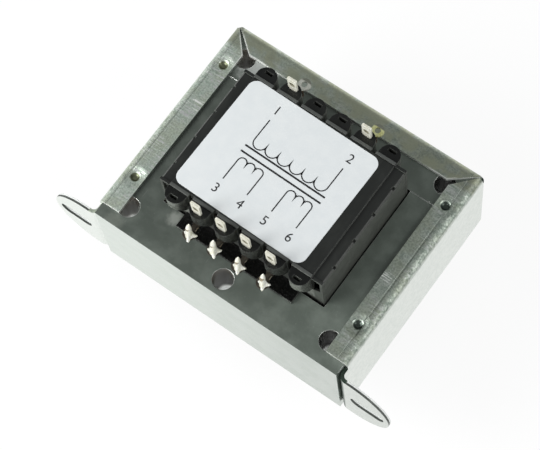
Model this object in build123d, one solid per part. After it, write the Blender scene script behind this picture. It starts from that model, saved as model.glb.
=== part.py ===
"""Chassis mount transformer: an EI core in a folded clamp frame, with a two-section bobbin and solder tags.

X runs along the mounting feet, Y from the mounting face to the closed side of the frame, and Z out of the
front of the core. Pieces are drawn about the centre of the core, then set down with the back of the coil on
Z = 0.
"""
import os
from build123d import *

# Laminated core
CORE_LENGTH = 75.0
CORE_WIDTH = 62.5
CORE_STACK = 28.0
YOKE = 12.5
CENTRE_LIMB = 25.0
PACKETS = 2
JOINT_GAP = 0.05
CORE_HOLE = 5.6
CORNER_HOLE_INSET = 6.25
MIDDLE_HOLE_INSET = 4.2

# Folded clamp frame
SHEET = 1.0
CORE_GAP = 0.1
LIP_GAP = 0.05
FOLD = 2.2
CORNER_FOLD = 1.2
SIDE_LIP = 6.5
FAR_LIP = 6.2
LIP_SETBACK = 1.2
MITRE_SIDE = 1.05
MITRE_FAR = 1.25
STAKE_TOP = 3.0
STAKE_TIP = 1.2
STAKE_DEPTH = 0.7
STAKE_INSET = 3.95
STAKE_NEAR = 13.4
STAKE_FAR = 12.3

# Slotted feet
FOOT_WIDTH = 23.0
FOOT_EDGE = 1.6
FOOT_BEND = 2.2
SLOT_WIDTH = 4.5
SLOT_LENGTH = 10.0
SLOT_INSET = 1.4

# Bobbin tube and flanges
LIMB_GAP = 0.2
TUBE_WALL = 1.2
FLANGE = 0.8
FLANGE_GAP = 0.75
SIDE_GAP = 0.4
PARTITION = 1.0
RIM_RISE = 0.4
SIDE_RIM = 0.8
WINDOW_HEIGHT = 5.5
WINDOW_FALL = 2.0
WIRE_SLOT = 1.3
WIRE_SLOT_DEPTH = 5.0
APRON_WIDTH = 35.8
APRON_REACH = 4.65
APRON_SHEET = 1.2
APRON_GAP = 0.1

# Coil covers and label
COVER_RISE = 14.5
COVER_WALL = 1.2
COVER_FIT = 0.05
COVER_BORDER = 3.2
PAD_STEP = 0.8
COVER_EDGE = 0.4
CLIP_NOTCHES = 4
CLIP_PITCH = 8.3
CLIP_NOTCH = 0.9
CLIP_NOTCH_DEPTH = 0.7
LABEL_END_GAP = 0.4
LABEL_LEFT_GAP = -0.1
LABEL_RIGHT_GAP = 3.4
LABEL_SHEET = 0.15
LABEL_ROUND = 2.5
LABEL_TURN = -1.05

# Terminal towers
TOWERS = 6
TOWER_PITCH = 7.5
TOWER_WIDTH = 5.6
TOWER_DEPTH = 3.7
TOWER_HEIGHT = 4.0
CORBEL_HEIGHT = 4.0
EMPTY_SLOT_DEPTH = 2.5
PRIMARY_TOWERS = (1, 4)
SECONDARY_TOWERS = (1, 2, 3, 4)

# Solder tags
TAG_SHEET = 0.6
TAG_FIT = 0.15
TAG_OFFSET = 2.1
TAG_NECK = 2.0
TAG_HEAD = 2.7
TAG_RISE = 5.8
TAG_CORNER = 0.4
TAG_HOLE = 1.3
TAG_HOLE_DROP = 2.8
LUG_DROP = 0.9
LUG_NECK = 1.0
LUG_NECK_WIDTH = 1.3
LUG_HEAD = 3.4

# Windings and their ends
WINDING_GAP = 0.1
WINDING_SLACK = 0.4
TAPE = 0.4
LEAD_DROP = 0.9
LEAD_HOLE_GAP = 0.2
SECONDARY_WIRE = 1.2
SECONDARY_END = 3.2
PRIMARY_WIRE = 0.5
PRIMARY_END = 0.8
WIRE_SIDES = 12


def centred_row(count, pitch):
    """Places of a row of things, centred on zero."""
    return [(index - (count - 1) / 2) * pitch for index in range(count)]


# Places worked out from the sizes above
core_x = CORE_LENGTH / 2
core_y = CORE_WIDTH / 2
core_z = CORE_STACK / 2
window_in = CENTRE_LIMB / 2
window_out = core_x - YOKE
window_y = core_y - YOKE
clamp_x = core_x + CORE_GAP
clamp_y = core_y + CORE_GAP
clamp_z = core_z + LIP_GAP
out_x = clamp_x + SHEET
out_y = clamp_y + SHEET
lip_end_y = -core_y + FOOT_BEND + LIP_SETBACK
slot_x = clamp_x + FOOT_BEND + SLOT_INSET + SLOT_LENGTH / 2
foot_tip = slot_x + SLOT_LENGTH / 2 + FOOT_EDGE
nose_x = foot_tip - FOOT_WIDTH / 2
coil_x = window_out - SIDE_GAP
coil_z = core_z + COVER_RISE
pad_x = coil_x - COVER_BORDER
step_z = coil_z - PAD_STEP
flange_y = window_y - FLANGE_GAP
flange_in = flange_y - FLANGE
tube_x = window_in + LIMB_GAP + TUBE_WALL
tube_z = core_z + LIMB_GAP + TUBE_WALL
winding_room = min(coil_x - tube_x, step_z - tube_z) - COVER_WALL
winding_build = winding_room - WINDING_GAP - TAPE - WINDING_SLACK
tag_y = flange_y + TAG_OFFSET
neck_y = flange_y + TOWER_DEPTH + LUG_NECK / 2
lug_y = neck_y + LUG_NECK / 2 + LUG_HEAD / 2
lug_hole = SECONDARY_WIRE + 2 * LEAD_HOLE_GAP
tower_foot_z = coil_z - TOWER_HEIGHT
lug_top_z = tower_foot_z - LUG_DROP
apron_z = core_z + APRON_GAP
lead_z = lug_top_z - TAG_SHEET - LEAD_DROP
beside_lug = LUG_NECK_WIDTH / 2 + PRIMARY_WIRE / 2 + WINDING_GAP
tower_places = centred_row(TOWERS, TOWER_PITCH)
HALF_TURN = Rot(0, 0, 180)


def bar(x, y, z):
    """Box between two values on each axis."""
    block = Box(x[1] - x[0], y[1] - y[0], z[1] - z[0])
    return Pos((x[0] + x[1]) / 2, (y[0] + y[1]) / 2, (z[0] + z[1]) / 2) * block


def plate(x, y):
    """Rectangle between two values on each axis."""
    return Pos((x[0] + x[1]) / 2, (y[0] + y[1]) / 2) * Rectangle(x[1] - x[0], y[1] - y[0])


def mirrored(half):
    """A piece together with its mirror image across the YZ plane."""
    return half + mirror(half, Plane.YZ)


def channel(lip):
    """Section of the frame's wall with a lip at each end, its outer face on the local Y axis."""
    outer = plate((-lip, 0), (-clamp_z - SHEET, clamp_z + SHEET))
    outer = fillet(outer.vertices().group_by(Axis.X)[-1], FOLD)
    return outer - plate((-lip, -SHEET), (-clamp_z, clamp_z))


def lip_cut(*corners):
    """Cut of a given outline through the front and back lips, which leaves the wall whole."""
    wedge = extrude(Pos(0, 0, clamp_z) * make_face(Polyline(*corners, close=True)), SHEET)
    return wedge + mirror(wedge, Plane.XY)


def clamp_walls():
    """Right half of the frame's three walls, with lips that leave an open mitre at the far corner."""
    corner = (out_x - CORNER_FOLD, out_y - CORNER_FOLD)
    side_plane = Plane(origin=(out_x, lip_end_y, 0), x_dir=(1, 0, 0), z_dir=(0, 1, 0))
    side = extrude(side_plane * channel(SIDE_LIP), corner[1] - lip_end_y)
    far_plane = Plane(origin=(0, out_y, 0), x_dir=(0, 1, 0), z_dir=(1, 0, 0))
    far = extrude(far_plane * channel(FAR_LIP), corner[0])
    lip_x = out_x - SIDE_LIP
    lip_y = out_y - FAR_LIP
    side -= lip_cut((out_x, out_y), (lip_x, lip_y - MITRE_SIDE), (lip_x, out_y))
    far -= lip_cut((out_x, out_y), (lip_x - MITRE_FAR, lip_y), (out_x, lip_y))
    bend = (Pos(*corner) * Circle(CORNER_FOLD)) & plate((corner[0], out_x), (corner[1], out_y))
    bend -= plate((corner[0], clamp_x), (corner[1], clamp_y))
    return side + far + extrude(bend, clamp_z + SHEET - FOLD, both=True)


def stakes():
    """Conical dents that pin the front side lips, right half."""
    dent = Pos(0, 0, clamp_z + SHEET - STAKE_DEPTH / 2) * Cone(STAKE_TIP / 2, STAKE_TOP / 2, STAKE_DEPTH)
    return [Pos(out_x - STAKE_INSET, y, 0) * dent for y in (STAKE_NEAR - core_y, out_y - STAKE_FAR)]


def foot():
    """Right leg below its lip: the wall bent outward into a round-ended tongue with a fixing slot."""
    mount_y = -core_y
    bend = (clamp_x + FOOT_BEND, mount_y + FOOT_BEND)
    quarter = plate((clamp_x, bend[0]), (mount_y, bend[1]))
    plan = plate((clamp_x, out_x), (bend[1], lip_end_y))
    plan += (Pos(*bend) * (Circle(FOOT_BEND) - Circle(FOOT_BEND - SHEET))) & quarter
    plan += plate((bend[0], foot_tip), (mount_y, mount_y + SHEET))
    half = FOOT_WIDTH / 2
    strip = extrude(plan, half, both=True)
    tongue = plate((clamp_x, nose_x), (-half, half)) + Pos(nose_x, 0) * Circle(half)
    slot = Pos(slot_x, 0) * SlotOverall(SLOT_LENGTH, SLOT_WIDTH)
    return strip & extrude(Plane.XZ * (tongue - slot), CORE_WIDTH, both=True)


def mounting_frame():
    """Clamp frame, folded from one sheet."""
    half = clamp_walls() + foot()
    half -= stakes()
    return mirrored(half)


def lamination_packet(outline):
    """Packets of one lamination shape, every second one turned end for end."""
    thickness = CORE_STACK / PACKETS
    block = extrude(outline, thickness)
    solids = []
    for level in range(PACKETS):
        packet = Pos(0, 0, core_z - (level + 1) * thickness) * block
        if level % 2:
            packet = HALF_TURN * packet
        solids.append(packet.solid())
    return Compound(solids)


def yoke_holes(side):
    """Punched holes of one yoke."""
    corner_x = core_x - CORNER_HOLE_INSET
    corner_y = side * (core_y - CORNER_HOLE_INSET)
    places = [(-corner_x, corner_y), (corner_x, corner_y), (0, side * (core_y - MIDDLE_HOLE_INSET))]
    return [Pos(*place) * Circle(CORE_HOLE / 2) for place in places]


def e_laminations():
    """E shapes, with the yoke on the mounting side in the top packet."""
    limb_end = window_y - JOINT_GAP
    outline = plate((-core_x, core_x), (-core_y, limb_end))
    outline -= [plate(x, (-window_y, window_y)) for x in ((-window_out, -window_in), (window_in, window_out))]
    return lamination_packet(outline - yoke_holes(-1))


def i_laminations():
    """I shapes that close the E shapes."""
    return lamination_packet(plate((-core_x, core_x), (window_y, core_y)) - yoke_holes(1))


def flange_outline():
    """End flange seen along the coil, higher at the front where it borders the label panel."""
    sides = plate((-coil_x, coil_x), (-step_z, step_z + RIM_RISE))
    return sides + plate((-pad_x, pad_x), (-step_z, coil_z + RIM_RISE))


def tower(tagged):
    """Terminal tower on the far flange at x = 0: round-fronted block with a ramp below, slotted for a tag."""
    radius = TOWER_WIDTH / 2
    front_y = flange_y + TOWER_DEPTH
    corbel_z = tower_foot_z - CORBEL_HEIGHT
    plan = plate((-radius, radius), (flange_in, front_y - radius)) + Pos(0, front_y - radius) * Circle(radius)
    block = extrude(Pos(0, 0, corbel_z) * plan, TOWER_HEIGHT + CORBEL_HEIGHT)
    block &= bar((-radius, radius), (flange_in, front_y), (corbel_z, coil_z))
    ramp = make_face(Polyline((flange_y, corbel_z), (front_y, corbel_z), (front_y, tower_foot_z), close=True))
    block -= extrude(Plane.YZ * ramp, radius, both=True)
    half_slot = TAG_NECK / 2 + TAG_FIT
    half_sheet = TAG_SHEET / 2 + TAG_FIT
    slot_foot = corbel_z if tagged else coil_z - EMPTY_SLOT_DEPTH
    block -= bar((-half_slot, half_slot), (tag_y - half_sheet, tag_y + half_sheet), (slot_foot, coil_z))
    if tagged:
        channel_top = lug_top_z + TAG_FIT
        block -= bar((-half_slot, half_slot), (tag_y - half_sheet, lug_y), (corbel_z, channel_top))
    return block


def lead_out_window():
    """Opening in the right front corner of the far flange, beside the last tower, with a sloping sill."""
    inner_x = tower_places[-1] + TOWER_WIDTH / 2
    outer_x = coil_x - SIDE_RIM
    top_z = step_z + RIM_RISE - SIDE_RIM
    sill_z = top_z - WINDOW_HEIGHT
    corners = [(inner_x, top_z), (outer_x, top_z), (outer_x, sill_z), (inner_x, sill_z - WINDOW_FALL)]
    return extrude(Plane.XZ.offset(-flange_y) * make_face(Polyline(*corners, close=True)), FLANGE)


def terminal_row(tagged_towers, wire, lead_offset):
    """Towers and apron of the far flange, and the holes that the winding ends pass through."""
    row = extrude(Plane.XZ.offset(-flange_y) * flange_outline(), FLANGE)
    row -= mirrored(lead_out_window())
    half = APRON_WIDTH / 2
    apron_y = flange_y + APRON_REACH
    row += bar((-half, half), (flange_in, apron_y), (apron_z, apron_z + APRON_SHEET))
    for x in centred_row(TOWERS - 1, TOWER_PITCH):
        sides = (x - WIRE_SLOT / 2, x + WIRE_SLOT / 2)
        row -= bar(sides, (flange_in, flange_y), (coil_z - WIRE_SLOT_DEPTH, coil_z + RIM_RISE))
    for index, x in enumerate(tower_places):
        row += Pos(x, 0, 0) * tower(index in tagged_towers)
    half_hole = wire / 2 + LEAD_HOLE_GAP
    hole = bar((-half_hole, half_hole), (flange_in, lug_y), (lead_z - half_hole, lead_z + half_hole))
    return row - [Pos(tower_places[index] + lead_offset, 0, 0) * hole for index in tagged_towers]


def bobbin():
    """Moulded bobbin: tube, end flanges with terminal rows and the partition between the windings."""
    body = bar((-tube_x, tube_x), (-flange_y, flange_y), (-tube_z, tube_z))
    wall_x = coil_x - COVER_WALL - COVER_FIT
    wall_z = step_z - COVER_WALL - COVER_FIT
    body += bar((-wall_x, wall_x), (-PARTITION / 2, PARTITION / 2), (-wall_z, wall_z))
    body += terminal_row(PRIMARY_TOWERS, PRIMARY_WIRE, beside_lug)
    body += HALF_TURN * terminal_row(SECONDARY_TOWERS, SECONDARY_WIRE, 0)
    hole_x = window_in + LIMB_GAP
    hole_z = core_z + LIMB_GAP
    return body - bar((-hole_x, hole_x), (-core_y, core_y), (-hole_z, hole_z))


def coil_cover():
    """Front half of the cover between the end flanges, with side walls that go down through the windows."""
    skin = plate((-coil_x, coil_x), (COVER_FIT, step_z))
    skin = chamfer(skin.vertices().group_by(Axis.Y)[-1], COVER_EDGE)
    skin += plate((-pad_x, pad_x), (step_z - COVER_WALL, coil_z))
    skin -= plate((-coil_x + COVER_WALL, coil_x - COVER_WALL), (0, step_z - COVER_WALL))
    cover = extrude(Plane.XZ * skin, flange_in - COVER_FIT, both=True)
    notch_x = (coil_x - CLIP_NOTCH_DEPTH, coil_x)
    for y in centred_row(CLIP_NOTCHES, CLIP_PITCH):
        notch = bar(notch_x, (y - CLIP_NOTCH / 2, y + CLIP_NOTCH / 2), (step_z - CLIP_NOTCH, step_z))
        cover -= mirrored(notch)
    return cover


def rating_label():
    """Blank sticker, laid on the front cover a little askew."""
    left = -pad_x + LABEL_LEFT_GAP
    right = pad_x - LABEL_RIGHT_GAP
    outline = RectangleRounded(right - left, 2 * (flange_in - LABEL_END_GAP), LABEL_ROUND)
    return extrude(Pos((left + right) / 2, 0, coil_z) * Rot(0, 0, LABEL_TURN) * outline, LABEL_SHEET)


def coil_outline(height):
    """Rectangle at a height above the bobbin tube, its corners cut off as the turns pull them in."""
    outline = Rectangle(2 * (tube_x + height), 2 * (tube_z + height))
    return chamfer(outline.vertices(), height) if height > WINDING_GAP else outline


def coil_ring(y, inner, outer):
    """Turns round the bobbin tube from y[0] to y[1], between two heights above the tube."""
    return extrude(Plane.XZ.offset(-y[1]) * (coil_outline(outer) - coil_outline(inner)), y[1] - y[0])


def windings():
    """Primary in the far section, both secondaries together in the near section, and a tape on each."""
    far = (PARTITION / 2 + WINDING_GAP, flange_in - WINDING_GAP)
    near = (-far[1], -far[0])
    top = WINDING_GAP + winding_build
    return {
        "primary_winding": coil_ring(far, WINDING_GAP, top),
        "primary_tape": coil_ring(far, top, top + TAPE),
        "secondary_winding": coil_ring(near, WINDING_GAP, top),
        "secondary_tape": coil_ring(near, top, top + TAPE),
    }


def solder_tag():
    """Tag for a far tower at x = 0: upright blade with a hole, bent out below the tower into an eyelet."""
    half_neck = TAG_NECK / 2
    lug_z = lug_top_z - TAG_SHEET
    head_top = coil_z + TAG_RISE
    blade = plate((-half_neck, half_neck), (lug_z, head_top - TAG_CORNER))
    head = plate((-TAG_HEAD / 2, TAG_HEAD / 2), (coil_z + TAG_FIT, head_top))
    blade += chamfer(head.vertices(), TAG_CORNER)
    blade -= Pos(0, head_top - TAG_HOLE_DROP) * Circle(TAG_HOLE / 2)
    tag = extrude(Plane.XZ.offset(-tag_y) * blade, TAG_SHEET / 2, both=True)
    lug = plate((-half_neck, half_neck), (tag_y, flange_y + TOWER_DEPTH))
    lug += plate((-LUG_NECK_WIDTH / 2, LUG_NECK_WIDTH / 2), (tag_y, lug_y))
    lug += Pos(0, lug_y) * Circle(LUG_HEAD / 2)
    lug -= Pos(0, lug_y) * Circle(lug_hole / 2)
    return tag + extrude(Pos(0, 0, lug_z) * lug, TAG_SHEET)


def lead(wire, x, end_y, end):
    """Winding end at x: out through the far flange, then up beside or through the lug of its tag."""
    start_y = flange_in - WINDING_GAP
    end_z = lug_top_z + end
    path = Polyline((x, start_y, lead_z), (x, end_y, lead_z), (x, end_y, end_z))
    section = Plane.XZ.offset(-start_y) * Pos(x, lead_z) * RegularPolygon(wire / 2, WIRE_SIDES)
    return sweep(section, path, transition=Transition.RIGHT)


def terminals():
    """Tags and winding ends of both rows."""
    pieces = {}
    for number, index in enumerate(PRIMARY_TOWERS, 1):
        x = tower_places[index]
        pieces[f"primary_tag_{number}"] = Pos(x, 0, 0) * solder_tag()
        pieces[f"primary_lead_{number}"] = lead(PRIMARY_WIRE, x + beside_lug, neck_y, PRIMARY_END)
    for number, index in enumerate(SECONDARY_TOWERS, 1):
        x = tower_places[index]
        pieces[f"secondary_tag_{number}"] = HALF_TURN * Pos(-x, 0, 0) * solder_tag()
        pieces[f"secondary_lead_{number}"] = HALF_TURN * lead(SECONDARY_WIRE, -x, lug_y, SECONDARY_END)
    return pieces


def transformer():
    """Every piece of the transformer by name, about the centre of its core."""
    cover = coil_cover()
    return {
        "mounting_frame": mounting_frame(),
        "e_laminations": e_laminations(),
        "i_laminations": i_laminations(),
        "bobbin": bobbin(),
        "front_coil_cover": cover,
        "back_coil_cover": mirror(cover, Plane.XY),
        "rating_label": rating_label(),
        **windings(),
        **terminals(),
    }


os.makedirs("parts", exist_ok=True)
seat = Pos(0, -(CORE_GAP + SHEET) / 2, coil_z)
for name, piece in transformer().items():
    export_step(seat * piece, f"parts/{name}.step")
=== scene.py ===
"""Looks of the chassis mount transformer: finishes, label print, solder, studio light and camera."""
import math
import random

import bmesh
import bpy
from mathutils import Euler, Matrix, Vector


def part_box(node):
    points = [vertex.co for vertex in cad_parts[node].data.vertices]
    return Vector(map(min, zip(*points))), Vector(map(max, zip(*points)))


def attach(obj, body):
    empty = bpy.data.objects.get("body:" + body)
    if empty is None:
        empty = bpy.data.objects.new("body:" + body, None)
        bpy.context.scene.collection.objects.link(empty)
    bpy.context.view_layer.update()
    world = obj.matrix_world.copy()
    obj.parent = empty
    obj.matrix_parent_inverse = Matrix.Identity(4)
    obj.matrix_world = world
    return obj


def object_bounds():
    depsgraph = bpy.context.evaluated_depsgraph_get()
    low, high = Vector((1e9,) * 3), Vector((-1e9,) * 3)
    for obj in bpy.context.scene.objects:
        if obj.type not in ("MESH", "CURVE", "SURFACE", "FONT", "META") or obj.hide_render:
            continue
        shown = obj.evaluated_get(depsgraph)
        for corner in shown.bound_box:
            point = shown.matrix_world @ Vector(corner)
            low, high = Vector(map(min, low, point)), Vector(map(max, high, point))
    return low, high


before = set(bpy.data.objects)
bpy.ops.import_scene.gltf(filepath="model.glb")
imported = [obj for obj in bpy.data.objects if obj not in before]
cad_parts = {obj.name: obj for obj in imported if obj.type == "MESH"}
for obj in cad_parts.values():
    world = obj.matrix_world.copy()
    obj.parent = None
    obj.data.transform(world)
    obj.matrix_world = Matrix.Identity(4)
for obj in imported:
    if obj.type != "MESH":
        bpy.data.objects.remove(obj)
cad_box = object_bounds()

MM = 0.001
BODY = "root"
CORE_LOW, CORE_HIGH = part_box("e_laminations")
FRAME_LOW, FRAME_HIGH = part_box("mounting_frame")
LUG_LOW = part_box("secondary_tag_1")[0]

# Camera: place in metres, turn in degrees, lens and sensor in millimetres
CAMERA_PLACE = (0.13321, -0.13437, 0.50699)
CAMERA_TURN = (21.0086, 4.0814, 36.0395)
CAMERA_LENS = 132.449
CAMERA_SENSOR = 36.0

# Floor: its glow and shade where it is seen, and its shade to all other light
FLOOR_RADIUS = 4.0
FLOOR_SIDES = 64
FLOOR_GLOW = 0.89
FLOOR_SEEN = (0.13, 0.13, 0.13, 1)
FLOOR_BOUNCE = (0.7, 0.7, 0.7, 1)
WHITE = (1, 1, 1, 1)

# Room light and lamps
BRIGHT_SIDE = (-0.6, -0.8, 0)
ROOM_BRIGHT = (0.92, 0.93, 0.93, 1)
ROOM_DIM = (0.36, 0.37, 0.37, 1)
ROOM_ABOVE = (0.29, 0.30, 0.30, 1)
LEFT_LAMP = {"place": (-0.34, -0.36, 0.38), "size": 0.36, "power": 2.8}
RIGHT_LAMP = {"place": (0.75, 0.10, 0.60), "size": 0.5, "power": 2.4}

# Rounding of sharp edges, in millimetres
FRAME_ROUND = 0.12
GLINT_ROUND = 0.8
CORE_ROUND = 0.28
PLASTIC_ROUND = 0.25
EDGE_HIGHLIGHT_ROUND = 0.2
TAG_ROUND = 0.08

# Clamp frame: fold marks, feet with their bends, and staked dents
WALL_OUT = CORE_HIGH.x + 1.1 * MM
CREASE_X = WALL_OUT - 2.3 * MM
CREASE_LEFT = -CREASE_X
CREASE_RIGHT = CREASE_X - 0.6 * MM
CREASE_WIDTH = 0.45 * MM
FOLD_FADE = 0.5 * MM
FAR_LIP_EDGE = FRAME_HIGH.y - 6.2 * MM
FOOT_START = WALL_OUT + 1.4 * MM
FOOT_FADE = 0.3 * MM
TORN_EDGE = 0.5 * MM
TORN_FADE = 0.15 * MM
BEND_LOW = FRAME_LOW.y + 2 * MM
BEND_HIGH = FRAME_LOW.y + 3 * MM
BEND_TOP = CORE_HIGH.z + 0.5 * MM
STAKE_X = WALL_OUT - 3.95 * MM
STAKE_NEAR = CORE_LOW.y + 13.4 * MM
STAKE_FAR = FRAME_HIGH.y - 12.3 * MM
STAKE_EDGE = 1.5 * MM
STAKE_WALL = STAKE_EDGE * 0.9
STAKE_FLOOR = STAKE_EDGE * 0.75
STAKE_RIM = 3.4 * MM

# Painted highlights along the edges of the front lips, and scratched places on them: place and reach
GLINT_LEFT = ((-WALL_OUT + 8 * MM, FAR_LIP_EDGE + 1.5 * MM, FRAME_HIGH.z), 9 * MM)
GLINT_RIGHT = ((WALL_OUT - 10 * MM, FAR_LIP_EDGE, FRAME_HIGH.z), 5 * MM)
SCRATCHED_LEFT = ((-WALL_OUT + 4.6 * MM, 6.6 * MM, FRAME_HIGH.z), 3.0 * MM)
SCRATCHED_RIGHT = ((WALL_OUT - 5.8 * MM, -5.2 * MM, FRAME_HIGH.z), 3.5 * MM)

# Colours of the clamp frame
LIP_DARK = (0.52, 0.61, 0.53, 1)
LIP_PALE = (0.82, 0.91, 0.80, 1)
LIP_OLIVE = (0.62, 0.66, 0.50, 1)
LIP_BRUSHED = (0.94, 0.98, 0.93, 1)
LIP_STREAK = (0.90, 0.95, 0.90, 1)
FAR_LIP_OLIVE = (0.64, 0.67, 0.49, 1)
WALL_DARK = (0.76, 0.80, 0.76, 1)
WALL_PALE = (0.80, 0.835, 0.79, 1)
# Sheared foot edges: a torn band, darkened partly by painted shade, and a bright burnished band
SHEAR_TORN_AND_SHADE = (0.13, 0.14, 0.13, 1)
SHEAR_BURNISHED = (0.92, 0.94, 0.92, 1)
# Painted shade in the bend of the right foot
BEND_SHADOW = (0.07, 0.10, 0.08, 1)
# Painted highlights on the lip ends and edges, and bare metal in the scratches
GLINT_AND_SCRATCH_ZINC = (0.90, 0.92, 0.88, 1)
# Painted shade in the staked dents, darker at the right
DENT_SHADE_LEFT = (0.20, 0.215, 0.14, 1)
DENT_SHADE_RIGHT = (0.075, 0.092, 0.080, 1)

# Core: sheet thickness, depth of its surface, how deep the painted shade in the holes reaches before
# their painted reflection, and where that shade is darkest
LAYER = 0.5 * MM
SKIN = 0.05 * MM
HOLE_DARK = 10.5 * MM
HOLE_PALE = 13.5 * MM
DARKEST_X = CORE_HIGH.x - 5 * MM

# Colours of the core
VARNISH_DARK = (0.098, 0.116, 0.099, 1)
VARNISH_PALE = (0.142, 0.165, 0.143, 1)
VARNISH_FLECK = (0.30, 0.32, 0.30, 1)
VARNISH_SCRATCH = (0.34, 0.36, 0.34, 1)
CORE_RIM = (0.80, 0.82, 0.79, 1)
GROUND_DARK = (0.725, 0.785, 0.73, 1)
GROUND_PALE = (0.80, 0.86, 0.80, 1)
SEAM_DARK = (0.30, 0.31, 0.30, 1)
# Painted shade in the holes, from left to right, and a painted reflection deep in them
BORE_SHADE_LEFT = (0.40, 0.37, 0.32, 1)
BORE_SHADE_RIGHT = (0.03, 0.031, 0.027, 1)
BORE_DEEP_REFLECTION = (0.88, 0.90, 0.88, 1)

# Painted reflections on the varnish, as pale patches: place, reach, strength and colour
VARNISH_LIGHT_PATCHES = (
    ((-19.6 * MM, CORE_LOW.y + 10.3 * MM, CORE_HIGH.z), 2.5 * MM, 1.0, (0.30, 0.32, 0.29, 1)),
    ((CORE_LOW.x + 5.5 * MM, CORE_LOW.y + MM, CORE_HIGH.z), 3.0 * MM, 0.3, (0.26, 0.28, 0.24, 1)),
    ((-27.5 * MM, CORE_HIGH.y - 5.5 * MM, CORE_HIGH.z), 7.0 * MM, 0.8, (0.46, 0.48, 0.46, 1)),
)

# Bobbin and covers: flange, raised rim with its painted highlight, shadow low down, and painted light on
# the near end towers
CORE_MIDDLE = (CORE_LOW.y + CORE_HIGH.y) / 2
FLANGE_Y = 18.0 * MM
FLANGE_FADE = 0.2 * MM
RIM_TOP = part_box("bobbin")[1].z
RIM_START = RIM_TOP - 0.3 * MM
RIM_FADE = 0.2 * MM
SHADOW_LOW = CORE_HIGH.z + 2 * MM
SHADOW_HIGH = CORE_HIGH.z + 8 * MM
# Reach of the painted light on the near end towers, with a ragged edge
END_TOWER_LIT_START = 15.8 * MM
END_TOWER_LIT_FADE = 0.6 * MM
END_TOWER_LIT_RAGGED = 1.6 * MM
TOWERS_END = 21.6 * MM
TOWERS_FADE = 0.3 * MM

# Colours of the bobbin and covers
PLASTIC_DARK = (0.012, 0.0135, 0.0122, 1)
PLASTIC_PALE = (0.020, 0.022, 0.0195, 1)
PLASTIC_FLECK = (0.07, 0.07, 0.065, 1)
# Painted highlight on the raised rim
PLASTIC_RIM_HIGHLIGHT = (0.08, 0.085, 0.08, 1)
# Painted highlight on sharp plastic edges
PLASTIC_EDGE_HIGHLIGHT = (0.08, 0.08, 0.078, 1)
# Painted light on the faces that look along X
SIDE_LIT_DARK = (0.066, 0.070, 0.062, 1)
SIDE_LIT_PALE = (0.084, 0.090, 0.079, 1)
# Painted light on the faces that look along Y
FRONT_LIT_DARK = (0.045, 0.048, 0.043, 1)
FRONT_LIT_PALE = (0.075, 0.080, 0.072, 1)
# Painted light on the flange ends past the towers
FRONT_END_LIT = (0.10, 0.11, 0.096, 1)
# Painted light on the fronts of the near end towers
END_TOWER_LIT_DARK = (0.15, 0.16, 0.14, 1)
END_TOWER_LIT_PALE = (0.27, 0.29, 0.26, 1)

# Tags: their numbers in each row, the hole in the blade, and the eyelet
PRIMARY = (1, 2)
SECONDARY = (1, 2, 3, 4)
TAG_HOLE = 1.3 * MM
TAG_HOLE_DROP = 2.8 * MM
EYELET_Y = 24.4 * MM
EYELET_FADE = 0.5 * MM
EYELET_TOP = LUG_LOW.z + 1.4 * MM
BLADE_START = LUG_LOW.z + 2.4 * MM

# Colours of the tags, the solder and the winding ends
BLADE_PALE = (0.95, 0.94, 0.84, 1)
BLADE_DULL = (0.76, 0.74, 0.60, 1)
# Painted shade round the holes in the blades
BLADE_HOLE_SHADE = (0.40, 0.38, 0.28, 1)
EYELET_YELLOW = (0.80, 0.82, 0.46, 1)
EYELET_OCHRE = (0.62, 0.62, 0.24, 1)
EYELET_GREY = (0.66, 0.67, 0.60, 1)
EYELET_EDGE = (0.20, 0.21, 0.17, 1)
# Flux brown on the near eyelets, darkened further by painted shade
FLUX_AND_SHADE_DARK = (0.022, 0.018, 0.012, 1)
FLUX_AND_SHADE_PALE = (0.06, 0.05, 0.035, 1)
TINNED_PALE = (0.84, 0.80, 0.70, 1)
TINNED_DULL = (0.62, 0.50, 0.34, 1)
FLUXED_DARK = (0.05, 0.03, 0.015, 1)
FLUXED_PALE = (0.10, 0.05, 0.025, 1)
SOLDER_PALE = (0.97, 0.97, 0.91, 1)
SOLDER_DULL = (0.84, 0.83, 0.66, 1)

# Colours of the label, its ink, the windings and their tape
LABEL_DARK = (0.83, 0.865, 0.88, 1)
LABEL_PALE = (0.86, 0.89, 0.90, 1)
INK_BLACK = (0.018, 0.018, 0.02, 1)
INK_WORN = (0.10, 0.10, 0.105, 1)
COPPER_DARK = (0.50, 0.17, 0.06, 1)
COPPER_PALE = (0.66, 0.26, 0.10, 1)
TAPE_DARK = (0.012, 0.010, 0.008, 1)
TAPE_PALE = (0.022, 0.019, 0.014, 1)

# Windings: distance from wire to wire
WIRE_PITCH = 0.5 * MM

# Label print: turn in degrees, lines, figures and places from the middle and the edges of the label
LABEL_TURN = -1.05
INK_LIFT = 0.02 * MM
INK_LINE = 0.32 * MM
CORE_LINE = INK_LINE * 1.5
CORE_LINE_Y = 0.9 * MM
DIGIT_SIZE = 3.6 * MM
FAR_DIGITS = 4.4 * MM
NEAR_DIGITS = 4.6 * MM
SYMBOL_Y = 3.4 * MM
SYMBOL_LEAD = 3.0 * MM
PRIMARY_BUMPS = 6
SECONDARY_BUMPS = 3
BUMP_STEPS = 12

# Lugs of the secondary tags
LUG_SHEET = 0.6 * MM
LUG_REACH = 1.7 * MM

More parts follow.
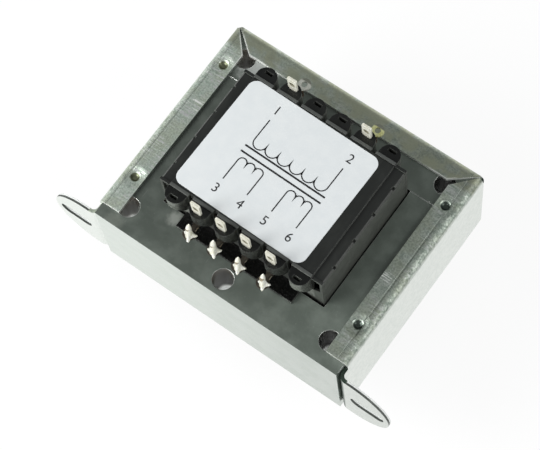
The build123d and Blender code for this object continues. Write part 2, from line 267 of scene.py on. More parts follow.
# Solder on the lugs, in millimetres: pulled points by heading and reach, a foot below them,
# rings that rise to the waist, and the spike by height and radius
SOLDER_SIDES = 40
SOLDER_RINGS = 9
SOLDER_ANGLES = [2 * math.pi * side / SOLDER_SIDES for side in range(SOLDER_SIDES)]
SOLDER_POINTS = ((181, 1.7), (-59, 1.9), (35, 2.05), (109, 1.4))
SOLDER_POINT_WIDTH = 0.32
SOLDER_VALLEY = 1.0
SOLDER_WAIST = 0.76
SOLDER_SHIFT = Vector((0.4, -0.4, 0))
SOLDER_FOOT = -0.25
SOLDER_FOOT_SHARE = 0.82
SOLDER_BASE = 0.12
SOLDER_RISE = 2.4
SOLDER_CURVE = 1.5
SOLDER_SPIKE = ((3.0, 0.68), (3.5, 0.60), (3.9, 0.38), (4.7, 0.06))
SOLDER_LEAN = 0.75
SOLDER_TURN = 0.15
SOLDER_SIZES = (0.94, 1.06)


class Nodes:
    """Shader nodes of a material or of the world, made and linked in short calls."""

    def __init__(self, tree):
        self.tree = tree

    def add(self, kind, inputs, output=0, **settings):
        """New node of a kind, with each input linked to a socket or set to a value."""
        node = self.tree.nodes.new("ShaderNode" + kind)
        for name, value in settings.items():
            setattr(node, name, value)
        for key, value in inputs.items():
            self.feed(node.inputs[key], value)
        return node.outputs[output] if node.outputs else None

    def feed(self, socket, value):
        """Links or sets one input."""
        if isinstance(value, bpy.types.NodeSocket):
            self.tree.links.new(value, socket)
        else:
            socket.default_value = value

    def math(self, operation, first, second=0.0):
        """Result of a math operation on one or two values."""
        return self.add("Math", {0: first, 1: second}, operation=operation)

    def chain(self, operation, values):
        """Values brought into one operation, one after another."""
        total = values[0]
        for value in values[1:]:
            total = self.math(operation, total, value)
        return total

    def product(self, *factors):
        """Factors multiplied together."""
        return self.chain("MULTIPLY", factors)

    def largest(self, *values):
        """Greatest of the values."""
        return self.chain("MAXIMUM", values)

    def smallest(self, *values):
        """Least of the values."""
        return self.chain("MINIMUM", values)

    def gap(self, value, place):
        """How far a value is from a place, to either side."""
        return self.math("ABSOLUTE", self.math("SUBTRACT", value, place))

    def axis(self, vector, name):
        """One coordinate of a vector."""
        return self.add("SeparateXYZ", {0: vector}, name)

    def dot(self, first, second):
        """How far two directions agree."""
        return self.add("VectorMath", {0: first, 1: second}, "Value", operation="DOT_PRODUCT")

    def span(self, value, low, high, start=0.0, end=1.0):
        """Value carried from one range to another, held at both ends."""
        inputs = {0: value, 1: low, 2: high, 3: start, 4: end}
        return self.add("MapRange", inputs, interpolation_type="SMOOTHSTEP")

    def past(self, value, limit, fade):
        """0 up to a limit, then rising to 1 over the fade."""
        return self.span(value, limit, limit + fade)

    def blend(self, factor, first, second):
        """Colour between two others."""
        return self.add("Mix", {0: factor, 6: first, 7: second}, 2, data_type="RGBA")


class Finish(Nodes):
    """A procedural material: a principled shader and the nodes that feed it."""

    def __init__(self, name, **constants):
        self.material = bpy.data.materials.new(name)
        self.material.use_nodes = True
        super().__init__(self.material.node_tree)
        self.shader = self.tree.nodes["Principled BSDF"]
        self.use(**constants)
        self.place = self.add("TexCoord", {}, "Object")
        self.normal = self.add("NewGeometry", {}, "True Normal")

    def use(self, **inputs):
        """Feeds the principled shader."""
        for socket, value in inputs.items():
            self.feed(self.shader.inputs[socket.replace("_", " ")], value)
        return self.material

    def along(self, axis):
        """One coordinate of the position, in metres."""
        return self.axis(self.place, axis)

    def beside(self, axis):
        """Distance from the middle plane of an axis, in metres."""
        return self.math("ABSOLUTE", self.along(axis))

    def facing(self, axis):
        """How far the surface faces up or down an axis, from 0 to 1."""
        return self.math("ABSOLUTE", self.axis(self.normal, axis))

    def away(self, centre):
        """Distance from a point, in metres."""
        return self.add("VectorMath", {0: self.place, 1: centre}, "Value", operation="DISTANCE")

    def noise(self, size, detail=4.0, rough=0.55, stretch=(1, 1, 1), swirl=0.0):
        """Noise with features of a size in millimetres, drawn out along the axes by stretch."""
        scale = [1 / (size * MM * factor) for factor in stretch]
        vector = self.add("Mapping", {"Vector": self.place, "Scale": scale})
        shape = {"Scale": 1.0, "Detail": detail, "Roughness": rough, "Distortion": swirl}
        return self.add("TexNoise", {"Vector": vector, **shape})

    def cloud(self, size, low=0.35, high=0.65, **shape):
        """Noise with its contrast raised, from 0 to 1."""
        return self.span(self.noise(size, **shape), low, high)

    def smear(self, centre, radius):
        """1 near a point, fading raggedly to 0 at about a radius."""
        ragged = self.product(self.noise(1.2, rough=0.6), radius)
        return self.span(self.math("ADD", self.away(centre), ragged), radius * 1.6, radius * 0.8)

    def scale(self, colour, factor):
        """Colour made darker or lighter."""
        return self.add("VectorMath", {0: colour, "Scale": factor}, operation="SCALE")

    def bump(self, height, depth, strength=1.0, normal=None):
        """Normal of a surface raised by a height of 0 to 1 times a depth in millimetres."""
        inputs = {"Strength": strength, "Distance": depth * MM, "Height": height}
        if normal:
            inputs["Normal"] = normal
        return self.add("Bump", inputs)

    def rounded(self, radius):
        """Normal with the sharp edges eased by a radius in millimetres."""
        return self.add("Bevel", {"Radius": radius * MM}, samples=6)

    def edges(self, radius):
        """1 at sharp edges, 0 elsewhere."""
        return self.span(self.dot(self.rounded(radius), self.normal), 0.995, 0.9)


def zinc_finish():
    """Zinc-plated sheet: clouded lips, plainer walls, creased folds, staked dents and sheared edges, with
    painted shade and painted highlights.
    """
    look = Finish("zinc_plated_steel")
    lip = look.span(look.facing("Z"), 0.25, 0.7)
    cloud = look.cloud(1.6, 0.36, 0.64, detail=5, rough=0.6, swirl=1.2)
    streak = look.cloud(0.45, 0.42, 0.68, detail=3, rough=0.5, stretch=(9, 1, 1))
    stakes = stake_distance(look)
    feet = look.past(look.beside("X"), FOOT_START, FOOT_FADE)
    sheared = look.product(feet, look.span(look.facing("Y"), 0.7, 0.4))
    burnished = look.past(look.along("Y"), FRAME_LOW.y + TORN_EDGE, TORN_FADE)
    marks = bright_marks(look, lip)
    colour = look.blend(lip, wall_colour(look, cloud), lip_colour(look, cloud, streak))
    # Sheared foot edges: torn band partly painted shade, burnished band behind it
    colour = look.blend(sheared, colour, look.blend(burnished, SHEAR_TORN_AND_SHADE, SHEAR_BURNISHED))
    # Painted shade in the bend between the right wall and its foot
    colour = look.blend(bend_shade(look), colour, BEND_SHADOW)
    # Painted highlights on the lip ends and edges, and bare scratched metal
    colour = look.blend(marks, colour, GLINT_AND_SCRATCH_ZINC)
    # Painted shade in the staked dents
    dent_shade = look.blend(look.span(look.along("X"), -MM, MM), DENT_SHADE_LEFT, DENT_SHADE_RIGHT)
    colour = look.blend(look.span(stakes, STAKE_WALL, STAKE_FLOOR), colour, dent_shade)
    beyond = look.past(look.beside("X"), CREASE_X, CREASE_WIDTH)
    rolled = look.product(beyond, look.span(look.facing("Z"), 0.05, 0.3))
    metallic = look.span(look.largest(marks, look.product(sheared, burnished)), 0, 1, 1.0, 0.3)
    roughness = look.product(look.span(cloud, 0, 1, 0.46, 0.34), look.span(rolled, 0, 1, 1.0, 1.5))
    normal = look.bump(look.span(stakes, STAKE_WALL, STAKE_RIM), 0.42, 0.9, look.rounded(FRAME_ROUND))
    normal = look.bump(look.span(crease_distance(look), 0.0, CREASE_WIDTH), 0.10, 1.0, normal)
    normal = look.bump(look.noise(0.9, rough=0.6), 0.06, 0.35, normal)
    normal = look.bump(look.product(look.noise(0.35, detail=3), beyond, lip), 0.06, 0.8, normal)
    normal = look.bump(look.product(streak, lip), 0.02, 0.5, normal)
    return look.use(Base_Color=colour, Metallic=metallic, Roughness=roughness, Normal=normal)


def lip_colour(look, cloud, streak):
    """Plating of the lips: brushed across, with painted shade that darkens them towards the right, on the
    far lip, along the creases and past them.
    """
    across = look.along("X")
    colour = look.blend(cloud, LIP_DARK, LIP_PALE)
    colour = look.blend(look.product(look.cloud(5.0, 0.40, 0.62), 0.45), colour, LIP_OLIVE)
    colour = look.blend(look.product(streak, look.cloud(7.0, 0.48, 0.62), 0.9), colour, LIP_BRUSHED)
    colour = look.blend(look.product(streak, 0.3), colour, LIP_STREAK)
    colour = look.scale(colour, look.span(look.noise(0.5, detail=3, rough=0.6), 0.36, 0.64, 0.84, 1.14))
    # Painted shade: the lips grow darker from left to right
    colour = look.scale(colour, look.span(across, -WALL_OUT, WALL_OUT, 1.1, 0.74))
    far = look.span(look.along("Y"), FAR_LIP_EDGE - MM, FAR_LIP_EDGE + MM)
    colour = look.blend(look.product(look.cloud(4.0, 0.35, 0.6), far, 0.8), colour, FAR_LIP_OLIVE)
    # Painted shade on the far lip
    colour = look.scale(colour, look.span(far, 0, 1, 1.0, 0.72))
    # Painted shade along the creases and on the folds past them
    colour = look.scale(colour, look.span(crease_distance(look), 0.0, CREASE_WIDTH * 1.6, 0.80, 1.0))
    colour = look.scale(colour, look.span(across, CREASE_X, CREASE_X + FOLD_FADE, 1.0, 0.82))
    return look.scale(colour, look.span(across, -CREASE_X - FOLD_FADE, -CREASE_X, 0.72, 1.0))


def wall_colour(look, cloud):
    """Plating of the walls and feet, with painted shade towards the right and on the rolled folds, and
    painted light on the faces that look along X.
    """
    colour = look.blend(cloud, WALL_DARK, WALL_PALE)
    # Painted shade towards the right and on the rolled folds, painted light on faces that look along X
    colour = look.scale(colour, look.span(look.along("X"), FRAME_LOW.x, FRAME_HIGH.x, 1.05, 0.83))
    colour = look.scale(colour, look.span(look.facing("X"), 0.5, 0.9, 1.0, 1.12))
    return look.scale(colour, look.span(look.facing("Z"), 0.15, 0.4, 1.0, 0.82))


def crease_distance(look):
    """Distance from the nearer of the two fold creases."""
    across = look.along("X")
    return look.smallest(look.gap(across, CREASE_LEFT), look.gap(across, CREASE_RIGHT))


def bright_marks(look, lip):
    """1 on painted highlights and scratches: painted highlights on the near ends of the front lips and
    along their edges, and bare metal in their scratches.
    """
    raised = look.past(look.along("Z"), CORE_HIGH.z, SKIN)
    upright = look.span(look.facing("Z"), 0.5, 0.2)
    ends = look.product(raised, upright, look.span(look.axis(look.normal, "Y"), -0.3, -0.6))
    edge_glint = look.largest(look.smear(*GLINT_LEFT), look.smear(*GLINT_RIGHT))
    edge_glint = look.product(look.edges(GLINT_ROUND), edge_glint)
    lines = look.cloud(0.28, 0.56, 0.62, detail=1, rough=0.5, stretch=(12, 1, 1))
    scratched = look.largest(look.smear(*SCRATCHED_LEFT), look.smear(*SCRATCHED_RIGHT))
    return look.largest(ends, edge_glint, look.product(lines, scratched, lip))


def bend_shade(look):
    """1 where painted shade falls: on the inside and the sheared edge of the bend between the right wall
    and its foot.
    """
    across = look.along("X")
    inward = look.span(look.axis(look.normal, "X"), -0.1, -0.4)
    bend = look.span(look.along("Y"), BEND_HIGH, BEND_LOW)
    edge = look.span(look.along("Z"), BEND_TOP, CORE_HIGH.z)
    edge = look.product(look.span(look.facing("Z"), 0.5, 0.8), edge)
    after_core = look.past(across, CORE_HIGH.x, SKIN)
    before_foot = look.span(across, FOOT_START + FOOT_FADE, FOOT_START)
    return look.product(look.largest(look.product(inward, bend), edge), after_core, before_foot)


def stake_distance(look):
    """Distance from the nearest staked dent in the front lips."""
    places = [(x, y, FRAME_HIGH.z) for x in (-STAKE_X, STAKE_X) for y in (STAKE_NEAR, STAKE_FAR)]
    return look.smallest(*[look.away(place) for place in places])


def core_finish():
    """Core sheets: varnished flat faces, ground outer sides with layer lines, and holes with painted
    shade, darkest at the right, and a painted reflection deep down.
    """
    look = Finish("core_steel")
    flat = look.span(look.facing("Z"), 0.6, 0.8)
    smudge = look.cloud(6.0, 0.35, 0.7, detail=5, rough=0.6)
    outside = core_outside(look, flat)
    rim = core_rim(look, flat)
    level = look.math("FRACT", look.math("DIVIDE", look.along("Z"), LAYER))
    seam = look.span(look.gap(level, 0.5), 0.38, 0.5)
    # Painted shade in the holes, darker to the right, giving way to a painted reflection deep down
    deep = look.span(look.along("Z"), CORE_HIGH.z - HOLE_DARK, CORE_HIGH.z - HOLE_PALE)
    shaded = look.span(look.along("X"), CORE_LOW.x, DARKEST_X)
    bore_shading = look.blend(deep, look.blend(shaded, BORE_SHADE_LEFT, BORE_SHADE_RIGHT), BORE_DEEP_REFLECTION)
    varnish = look.blend(rim, varnish_colour(look, smudge), CORE_RIM)
    colour = look.blend(outside, look.blend(flat, bore_shading, varnish), ground_colour(look, seam))
    metallic = look.largest(outside, rim, look.product(deep, 0.9))
    roughness = look.span(smudge, 0, 1, 0.32, 0.44)
    lit = look.math("SUBTRACT", 1.0, shaded)
    shine = look.span(look.largest(flat, outside, lit), 0, 1, 0.1, 0.5)
    normal = look.bump(look.product(seam, outside), 0.02, 0.4, look.rounded(CORE_ROUND))
    normal = look.bump(look.noise(0.6), 0.02, 0.3, normal)
    look.use(Base_Color=colour, Metallic=metallic, Roughness=roughness)
    return look.use(Specular_IOR_Level=shine, Normal=normal)


def core_outside(look, flat):
    """1 on the outer sides of the core, 0 in its holes and windows."""
    ends = look.math("GREATER_THAN", look.beside("X"), CORE_HIGH.x - SKIN)
    near = look.math("LESS_THAN", look.along("Y"), CORE_LOW.y + SKIN)
    far = look.math("GREATER_THAN", look.along("Y"), CORE_HIGH.y - SKIN)
    return look.math("SUBTRACT", look.largest(ends, near, far), flat)


def core_rim(look, flat):
    """1 at the rims of the holes and windows in the flat faces."""
    within = look.math("LESS_THAN", look.beside("X"), CORE_HIGH.x - MM)
    behind = look.math("GREATER_THAN", look.along("Y"), CORE_LOW.y + MM)
    return look.product(look.edges(CORE_ROUND), flat, within, behind)


def varnish_colour(look, smudge):
    """Varnish on the flat faces of the core: flecked and scratched, with painted light that pales it
    towards the right and painted reflections in pale patches.
    """
    colour = look.blend(smudge, VARNISH_DARK, VARNISH_PALE)
    # Painted light: the varnish grows paler towards the right
    colour = look.scale(colour, look.span(look.along("X"), CORE_LOW.x, CORE_HIGH.x, 0.84, 1.16))
    colour = look.blend(look.product(look.cloud(0.5, 0.64, 0.78), 0.5), colour, VARNISH_FLECK)
    lines = look.cloud(0.25, 0.66, 0.74, detail=2, rough=0.5, stretch=(1, 22, 1))
    colour = look.blend(look.product(lines, look.cloud(7.0, 0.5, 0.7), 0.5), colour, VARNISH_SCRATCH)
    # Painted reflections: pale patches of reflected light on the varnish
    for place, reach, strength, pale in VARNISH_LIGHT_PATCHES:
        colour = look.blend(look.product(look.smear(place, reach), strength), colour, pale)
    return colour


def ground_colour(look, seam):
    """Ground metal on the outer sides of the core: a line at each layer, with painted shade that darkens
    it towards the right.
    """
    grain = look.noise(2.5, detail=5, rough=0.6, stretch=(4, 1, 1))
    colour = look.blend(grain, GROUND_DARK, GROUND_PALE)
    # Painted shade towards the right
    colour = look.scale(colour, look.span(look.along("X"), CORE_LOW.x, CORE_HIGH.x, 0.92, 0.72))
    return look.blend(look.product(seam, 0.10), colour, SEAM_DARK)


def plastic_finish():
    """Black moulded plastic: flow marks, fine grain, painted light on upright faces and painted
    highlights at edges, wet near towers.
    """
    look = Finish("moulded_black", IOR=1.5)
    flow = look.cloud(5.0, 0.35, 0.7, rough=0.6, stretch=(1, 3, 1))
    near = look.span(look.along("Y"), MM, -MM)
    towers = look.past(look.gap(look.along("Y"), CORE_MIDDLE), FLANGE_Y, FLANGE_FADE)
    dipped = look.product(towers, near)
    # Painted light on the faces that look along X and along Y
    side = look.blend(look.cloud(2.2, rough=0.6), SIDE_LIT_DARK, SIDE_LIT_PALE)
    colour = look.blend(look.span(look.facing("X"), 0.5, 0.9), plastic_black(look, flow, towers), side)
    colour = look.blend(look.span(look.facing("Y"), 0.5, 0.9), colour, plastic_front(look, near))
    # Painted highlights on sharp edges
    colour = look.blend(look.product(look.edges(EDGE_HIGHLIGHT_ROUND), 0.2), colour, PLASTIC_EDGE_HIGHLIGHT)
    roughness = look.product(look.span(flow, 0, 1, 0.34, 0.48), look.span(dipped, 0, 1, 1.0, 0.45))
    shine = look.span(towers, 0, 1, 0.5, 0.36)
    normal = look.bump(look.noise(0.25, detail=3), 0.012, 0.5, look.rounded(PLASTIC_ROUND))
    normal = look.bump(look.noise(4.0, detail=2), 0.10, 0.3, normal)
    normal = look.bump(look.product(look.noise(0.8, detail=3, rough=0.6), dipped), 0.25, 0.9, normal)
    return look.use(Base_Color=colour, Roughness=roughness, Specular_IOR_Level=shine, Normal=normal)


def plastic_black(look, flow, towers):
    """Black of the level faces: painted shade low down, darker on the towers, and a painted highlight on
    the raised rim.
    """
    height = look.along("Z")
    colour = look.blend(flow, PLASTIC_DARK, PLASTIC_PALE)
    colour = look.blend(look.product(look.cloud(0.35, 0.66, 0.8, detail=2), 0.3), colour, PLASTIC_FLECK)
    # Painted shadow low down
    colour = look.scale(colour, look.span(height, SHADOW_LOW, SHADOW_HIGH, 0.25, 1.0))
    colour = look.scale(colour, look.span(towers, 0, 1, 1.0, 0.35))
    # Painted highlight on the raised rim
    return look.blend(look.past(height, RIM_START, RIM_FADE), colour, PLASTIC_RIM_HIGHLIGHT)


def plastic_front(look, near):
    """Painted light on the faces that look along Y, stronger on the near end towers and on the flange
    ends.
    """
    colour = look.blend(look.cloud(1.4, rough=0.6), FRONT_LIT_DARK, FRONT_LIT_PALE)
    # Painted light on the fronts of the near end towers, with a ragged edge
    run = look.blend(look.cloud(0.9, 0.38, 0.62, detail=3, rough=0.6), END_TOWER_LIT_DARK, END_TOWER_LIT_PALE)
    raised = look.past(look.along("Z"), CORE_HIGH.z, MM)
    ragged = look.math("ADD", look.beside("X"), look.product(look.noise(1.5, detail=3), END_TOWER_LIT_RAGGED))
    colour = look.blend(look.product(look.past(ragged, END_TOWER_LIT_START, END_TOWER_LIT_FADE), near, raised), colour, run)
    # Painted light on the flange ends past the towers
    past_towers = look.past(look.beside("X"), TOWERS_END, TOWERS_FADE)
    return look.blend(look.product(past_towers, raised), colour, FRONT_END_LIT)


def label_finish():
    """Cool white label film, half glossy, with a faint paper mottle."""
    look = Finish("label_film", IOR=1.45)
    mottle = look.cloud(3.0, 0.3, 0.7)
    colour = look.blend(mottle, LABEL_DARK, LABEL_PALE)
    fibre = look.bump(look.noise(0.2, detail=3), 0.008, 0.4)
    return look.use(Base_Color=colour, Roughness=look.span(mottle, 0, 1, 0.42, 0.5), Normal=fibre)


def ink_finish():
    """Black print, slightly broken where the film shows through."""
    look = Finish("label_ink")
    wear = look.cloud(0.25, 0.62, 0.8, detail=3)
    colour = look.blend(wear, INK_BLACK, INK_WORN)
    return look.use(Base_Color=colour, Roughness=look.span(wear, 0, 1, 0.4, 0.55))


def tag_finish():
    """Tinned tags: pale blades with painted shade round their holes, near eyelets brown with flux and
    darkened by painted shade, far ones yellowed, or grey at the left.
    """
    look = Finish("tinned_brass", Metallic=0.3)
    stain = look.cloud(0.9, 0.3, 0.72, rough=0.6)
    blade = look.blend(hole_ring(look), look.blend(stain, BLADE_PALE, BLADE_DULL), BLADE_HOLE_SHADE)
    yellowed = look.blend(stain, EYELET_YELLOW, EYELET_OCHRE)
    yellowed = look.blend(look.span(look.along("X"), MM, -MM), yellowed, EYELET_GREY)
    yellowed = look.blend(look.past(look.beside("Y"), EYELET_Y, EYELET_FADE), yellowed, EYELET_EDGE)
    # Near eyelets: flux brown and painted shade
    fluxed_and_shaded = look.blend(stain, FLUX_AND_SHADE_DARK, FLUX_AND_SHADE_PALE)
    eyelet = look.blend(look.math("LESS_THAN", look.along("Y"), 0.0), yellowed, fluxed_and_shaded)
    colour = look.blend(look.span(look.along("Z"), BLADE_START, EYELET_TOP), blade, eyelet)
    normal = look.bump(look.noise(0.7, detail=3), 0.08, 0.5, look.rounded(TAG_ROUND))
    return look.use(Base_Color=colour, Roughness=look.span(stain, 0, 1, 0.42, 0.6), Normal=normal)


def middle_x(name):
    """Middle of a node along X."""
    low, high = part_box(name)
    return (low.x + high.x) / 2


def hole_ring(look):
    """1 round the holes in the tag blades, where painted shade widens the hole, 0 elsewhere."""
    places = [middle_x(f"secondary_tag_{number}") for number in SECONDARY]
    sideways = look.smallest(*[look.gap(look.along("X"), place) for place in places])
    rise = look.math("SUBTRACT", look.along("Z"), cad_box[1].z - TAG_HOLE_DROP)
    square = look.math("ADD", look.product(sideways, sideways), look.product(rise, rise))
    return look.span(look.math("SQRT", square), TAG_HOLE * 0.85, TAG_HOLE * 0.55)


def tin_finish(name, first, second, metal):
    """Tinned, fluxed or soldered metal with soft dips, tarnished from a first colour to a second."""
    look = Finish(name, Metallic=metal)
    tarnish = look.cloud(0.9, 0.3, 0.72, rough=0.6)
    normal = look.bump(look.noise(0.7, detail=3), 0.08, 0.5)
    roughness = look.span(tarnish, 0, 1, 0.22, 0.40)
    return look.use(Base_Color=look.blend(tarnish, first, second), Roughness=roughness, Normal=normal)


def winding_finish():
    """Enamelled copper wire laid turn by turn."""
    look = Finish("enamelled_copper", Metallic=1.0)
    turn = look.math("FRACT", look.math("DIVIDE", look.along("Y"), WIRE_PITCH))
    wire = look.math("SINE", look.product(turn, math.pi))
    colour = look.blend(look.noise(3.0, detail=3), COPPER_DARK, COPPER_PALE)
    roughness = look.span(wire, 0, 1, 0.5, 0.25)
    return look.use(Base_Color=colour, Roughness=roughness, Normal=look.bump(wire, 0.25))


def tape_finish():
    """Dark insulating tape with slight wrinkles."""
    look = Finish("insulating_tape", Coat_Weight=0.3)
    wrinkle = look.noise(2.0, rough=0.6, stretch=(3, 1, 3))
    colour = look.blend(wrinkle, TAPE_DARK, TAPE_PALE)
    roughness = look.span(wrinkle, 0, 1, 0.35, 0.55)
    return look.use(Base_Color=colour, Roughness=roughness, Normal=look.bump(wrinkle, 0.1))


FINISHES = {
    "mounting_frame": zinc_finish(),
    "laminations": core_finish(),
    "bobbin": plastic_finish(),
    "label": label_finish(),
    "tag": tag_finish(),
    "secondary_lead": tin_finish("tinned_copper", TINNED_PALE, TINNED_DULL, metal=0.8),
    "winding": winding_finish(),
    "tape": tape_finish(),
    "primary_lead": tin_finish("fluxed_copper", FLUXED_DARK, FLUXED_PALE, metal=0.2),
}
FINISHES["cover"] = FINISHES["bobbin"]
SOLDER = tin_finish("solder", SOLDER_PALE, SOLDER_DULL, metal=0.2)


def dress_nodes():
    """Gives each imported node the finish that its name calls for."""
    for name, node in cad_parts.items():
        for word, finish in FINISHES.items():
            if word in name:
                node.data.materials.clear()
                node.data.materials.append(finish)


def new_piece(name, shape, material):
    """Mesh object from a bmesh, riding on the part."""
    bmesh.ops.recalc_face_normals(shape, faces=shape.faces)
    mesh = bpy.data.meshes.new(name)
    shape.to_mesh(mesh)
    shape.free()
    mesh.materials.append(material)
    piece = bpy.data.objects.new(name, mesh)
    bpy.context.scene.collection.objects.link(piece)
    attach(piece, BODY)


def ribbon(shape, points, width):
    """Flat ink line through points, mitred at its corners."""
    points = [Vector(point) for point in points]
    sides = []
    for index, point in enumerate(points):
        before = (point - points[index - 1]).normalized() if index else None
        after = (points[index + 1] - point).normalized() if index < len(points) - 1 else None
        heading = ((before or after) + (after or before)).normalized()
        lean = heading.dot(after or before)
        offset = Vector((-heading.y, heading.x)) * (width / 2 / lean)
        sides.append((point + offset, point - offset))
    corners = [[shape.verts.new((*side, 0)) for side in pair] for pair in sides]
    for first, second in zip(corners, corners[1:]):
        shape.faces.new((first[0], first[1], second[1], second[0]))


def coil_symbol(start, end, bumps):
    """Points of a winding symbol: a row of half rounds between two places on a line along X."""
    step = (end - start) / bumps
    points = []
    for index in range(bumps):
        middle = start + (index + 0.5) * step
        for turn in range(0 if index == 0 else 1, BUMP_STEPS + 1):
            angle = math.pi * (1 - turn / BUMP_STEPS)
            points.append((middle + math.cos(angle) * step / 2, math.sin(angle) * step / 2))
    return points


def wind(shape, run, y, lead_y, side, bumps):
    """One winding of the symbol, with a lead from each end."""
    turns = [(x, y + side * bulge) for x, bulge in coil_symbol(run[0], run[1], bumps)]
    ribbon(shape, [(run[0], lead_y)] + turns + [(run[1], lead_y)], INK_LINE)


def digit(shape, text, place):
    """Plain figure, centred on a place."""
    curve = bpy.data.curves.new("digit", "FONT")
    curve.body = text
    curve.size = DIGIT_SIZE
    curve.align_x = "CENTER"
    curve.align_y = "CENTER"
    writer = bpy.data.objects.new("digit", curve)
    mesh = bpy.data.meshes.new_from_object(writer)
    mesh.transform(Matrix.Translation((*place, 0)))
    shape.from_mesh(mesh)
    bpy.data.objects.remove(writer)
    bpy.data.curves.remove(curve)
    bpy.data.meshes.remove(mesh)


def label_print():
    """Terminal numbers and a winding symbol, printed on the label."""
    low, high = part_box("rating_label")
    middle = (low + high) / 2
    far_y = high.y - middle.y - FAR_DIGITS
    near_y = low.y - middle.y + NEAR_DIGITS
    primary = [middle_x(f"primary_tag_{number}") - middle.x for number in PRIMARY]
    secondary = [middle_x(f"secondary_tag_{number}") - middle.x for number in SECONDARY]
    shape = bmesh.new()
    for number, x in enumerate(primary, 1):
        digit(shape, str(number), (x, far_y))
    for number, x in enumerate(secondary, len(primary) + 1):
        digit(shape, str(number), (x, near_y))
    wind(shape, primary, SYMBOL_Y, far_y - SYMBOL_LEAD, -1, PRIMARY_BUMPS)
    for y in (CORE_LINE_Y, -CORE_LINE_Y):
        ribbon(shape, [(primary[0] - MM, y), (primary[1] + MM, y)], CORE_LINE)
    for pair in (secondary[:2], secondary[2:]):
        wind(shape, pair, -SYMBOL_Y, near_y + SYMBOL_LEAD, 1, SECONDARY_BUMPS)
    turn = Matrix.Rotation(math.radians(LABEL_TURN), 4, "Z")
    lift = Matrix.Translation((middle.x, middle.y, high.z + INK_LIFT))
    bmesh.ops.transform(shape, matrix=lift @ turn, verts=shape.verts)
    new_piece("label_print", shape, ink_finish())


def solder_reach(angle, turn):
    """How far the solder spreads over the lug in one direction, in millimetres."""
    reach = SOLDER_VALLEY
    for heading, point in SOLDER_POINTS:
        gap = math.remainder(angle - math.radians(heading) - turn, 2 * math.pi)
        reach += (point - SOLDER_VALLEY) * math.exp(-(gap / SOLDER_POINT_WIDTH) ** 2)
    return reach


def solder_levels(turn):
    """Levels of a joint from its foot to its tip: height, shift, and radius at each angle."""
    profile = [(SOLDER_FOOT, 0.0, SOLDER_FOOT_SHARE)]
    for ring in range(SOLDER_RINGS + 1):
        up = ring / SOLDER_RINGS
        profile.append((SOLDER_BASE + SOLDER_RISE * up ** SOLDER_CURVE, up, 1.0))
    levels = []
    for height, up, share in profile:
        spread = share * (1 - up) ** 2
        waist = SOLDER_WAIST * (share - spread)
        radii = [waist + spread * solder_reach(angle, turn) for angle in SOLDER_ANGLES]
        levels.append((height, SOLDER_SHIFT * (1 - up), radii))
    for height, radius in SOLDER_SPIKE:
        levels.append((height, Vector((0, 0, 0)), [radius] * SOLDER_SIDES))
    return levels


def solder_ring(shape, centre, radii):
    """Corners round a centre, at a radius for each angle."""
    corners = []
    for angle, radius in zip(SOLDER_ANGLES, radii):
        heading = Vector((math.cos(angle), math.sin(angle), 0))
        corners.append(shape.verts.new(centre + heading * radius))
    return corners


def solder_joint(number):
    """Solder on a secondary lug: pulled points at its rim, drawn up round the wire end to a spike."""
    tag_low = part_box(f"secondary_tag_{number}")[0]
    draw = random.Random(number)
    turn = draw.uniform(-SOLDER_TURN, SOLDER_TURN)
    size = draw.uniform(*SOLDER_SIZES)
    lug = Vector((middle_x(f"secondary_tag_{number}"), tag_low.y + LUG_REACH, tag_low.z + LUG_SHEET))
    spike_top = SOLDER_SPIKE[-1][0]
    shape = bmesh.new()
    rings = []
    for height, shift, radii in solder_levels(turn):
        lean = SOLDER_LEAN * (max(height, 0) / spike_top) ** 2
        centre = lug + (shift + Vector((0, lean, height * size))) * MM
        rings.append(solder_ring(shape, centre, [radius * size * MM for radius in radii]))
    for lower, upper in zip(rings, rings[1:]):
        for side in range(SOLDER_SIDES):
            after = (side + 1) % SOLDER_SIDES
            shape.faces.new((lower[side], lower[after], upper[after], upper[side]))
    shape.faces.new(rings[0])
    shape.faces.new(rings[-1])
    for face in shape.faces:
        face.smooth = True
    new_piece(f"solder_{number}", shape, SOLDER)


def stage_floor():
    """Pale floor that shows white to the camera and in reflections, and keeps a soft shadow."""
    shape = bmesh.new()
    bmesh.ops.create_circle(shape, cap_ends=True, segments=FLOOR_SIDES, radius=FLOOR_RADIUS)
    mesh = bpy.data.meshes.new("floor")
    shape.to_mesh(mesh)
    shape.free()
    floor = bpy.data.objects.new("floor", mesh)
    bpy.context.scene.collection.objects.link(floor)
    mesh.materials.append(floor_finish())


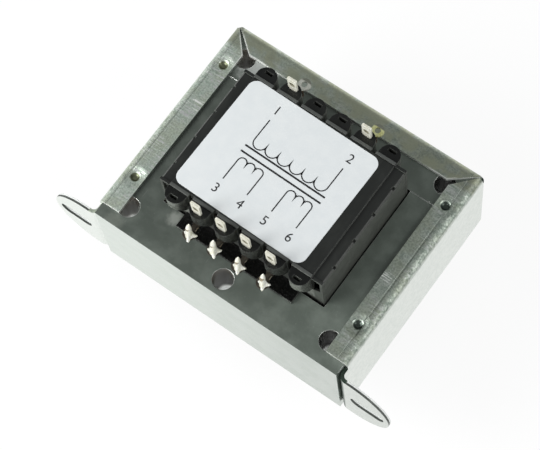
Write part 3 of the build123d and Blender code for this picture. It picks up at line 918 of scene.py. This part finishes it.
def floor_finish():
    """White that glows where it is seen or mirrored, and is plain to all other light."""
    material = bpy.data.materials.new("floor_white")
    material.use_nodes = True
    nodes = Nodes(material.node_tree)
    nodes.tree.nodes.clear()
    rays = ("Is Camera Ray", "Is Glossy Ray", "Is Transmission Ray")
    shown = nodes.largest(*[nodes.add("LightPath", {}, ray) for ray in rays])
    glow = nodes.add("Emission", {"Color": WHITE, "Strength": FLOOR_GLOW})
    shade = nodes.add("BsdfDiffuse", {"Color": FLOOR_SEEN})
    white = nodes.add("AddShader", {0: glow, 1: shade})
    plain = nodes.add("BsdfDiffuse", {"Color": FLOOR_BOUNCE})
    nodes.add("OutputMaterial", {"Surface": nodes.add("MixShader", {0: shown, 1: plain, 2: white})})
    return material


def studio_world():
    """Room light: white at the horizon, bright at the left front, dim at the right and overhead."""
    world = bpy.data.worlds.new("studio")
    bpy.context.scene.world = world
    world.use_nodes = True
    nodes = Nodes(world.node_tree)
    direction = nodes.add("TexCoord", {}, "Generated")
    height = nodes.axis(direction, "Z")
    toward = nodes.span(nodes.dot(direction, BRIGHT_SIDE), -0.4, 0.7)
    side = nodes.blend(toward, ROOM_DIM, ROOM_BRIGHT)
    room = nodes.blend(nodes.span(height, 0.2, 0.65), side, ROOM_ABOVE)
    room = nodes.blend(nodes.span(height, 0.06, 0.18), WHITE, room)
    nodes.feed(nodes.tree.nodes["Background"].inputs["Color"], room)


def softbox(name, place, size, power):
    """Square soft lamp turned to the part."""
    lamp = bpy.data.lights.new(name, "AREA")
    lamp.size = size
    lamp.energy = power
    holder = bpy.data.objects.new(name, lamp)
    holder.location = place
    aim = (cad_box[0] + cad_box[1]) / 2
    holder.rotation_euler = (aim - Vector(place)).to_track_quat("-Z", "Y").to_euler()
    bpy.context.scene.collection.objects.link(holder)


def studio_lights():
    """Soft lamps: a near one at the left front, and a weaker one at the right."""
    softbox("front_left", **LEFT_LAMP)
    softbox("right", **RIGHT_LAMP)


def studio_camera():
    """Camera at the viewing angle of the reference picture."""
    lens = bpy.data.cameras.new("camera")
    lens.lens = CAMERA_LENS
    lens.sensor_width = CAMERA_SENSOR
    lens.sensor_fit = "HORIZONTAL"
    camera = bpy.data.objects.new("camera", lens)
    camera.location = CAMERA_PLACE
    camera.rotation_euler = Euler([math.radians(angle) for angle in CAMERA_TURN], "XYZ")
    bpy.context.scene.collection.objects.link(camera)
    bpy.context.scene.camera = camera


dress_nodes()
label_print()
for lug_number in SECONDARY:
    solder_joint(lug_number)
stage_floor()
studio_world()
studio_lights()
studio_camera()
bpy.context.scene.view_settings.view_transform = "Standard"
